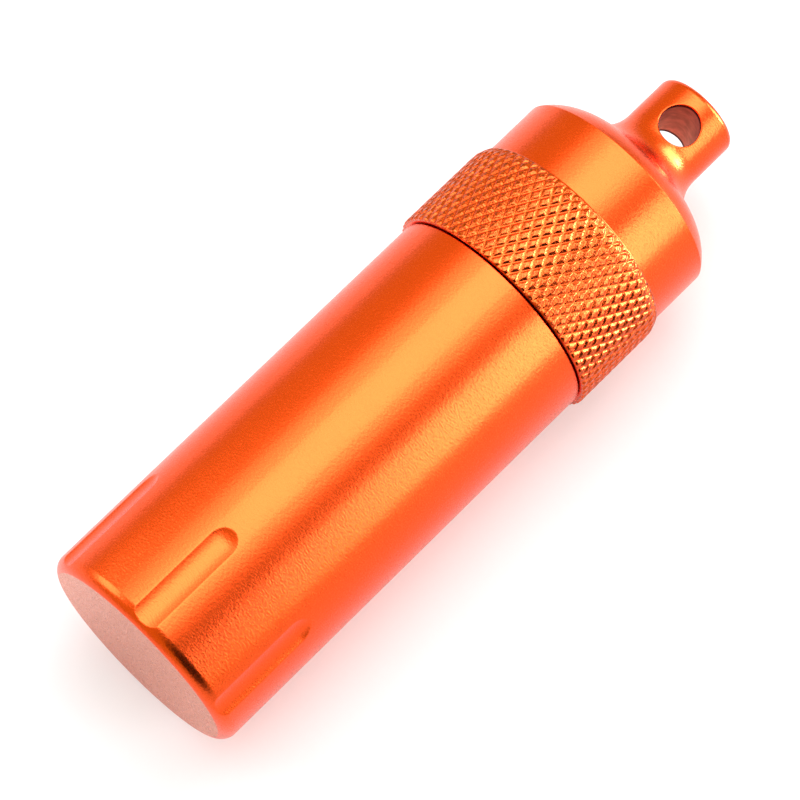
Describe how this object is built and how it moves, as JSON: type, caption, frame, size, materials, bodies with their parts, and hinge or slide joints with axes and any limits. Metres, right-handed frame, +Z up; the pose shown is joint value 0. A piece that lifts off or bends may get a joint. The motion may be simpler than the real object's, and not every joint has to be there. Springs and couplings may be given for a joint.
{
  "type": "pill holder",
  "caption": "Slim round metal pill case with grip flutes at its foot, a knurled screw cap, rubber seals and a lug with a cross hole for a lanyard.",
  "frame": {"origin": "centre of the flat base that the pill holder stands on", "axes": "+Z up along the axis of the case to the lug; the lanyard hole runs along Y"},
  "size_m": [0.0284, 0.0284, 0.0904],
  "materials": {
    "canister_metal": "satin orange anodised, fine bead-blasted grain",
    "cap_metal": "satin orange anodised, knurled band",
    "o_ring_rubber": "satin black",
    "seal_rubber": "satin black"
  },
  "bodies": {
    "canister": {"canister": "canister_metal", "neck_o_ring": "o_ring_rubber"},
    "cap_seal": {"cap_seal": "seal_rubber"},
    "screw_cap": {"screw_cap": "cap_metal"}
  },
  "joints": [
    {"name": "cap_rise", "type": "slide", "parent": "canister", "child": "cap_seal", "axis": [0, 0, 1], "range_m": [0, 0.01501]},
    {"name": "cap_turn", "type": "hinge", "parent": "cap_seal", "child": "screw_cap", "pos_m": [0, 0, 0.06], "axis": [0, 0, 1], "range_deg": [0, 3600]}
  ],
  "couplings": [
    {"joint": "cap_rise", "follows": "cap_turn", "m_per_rad": 0.00023873}
  ]
}
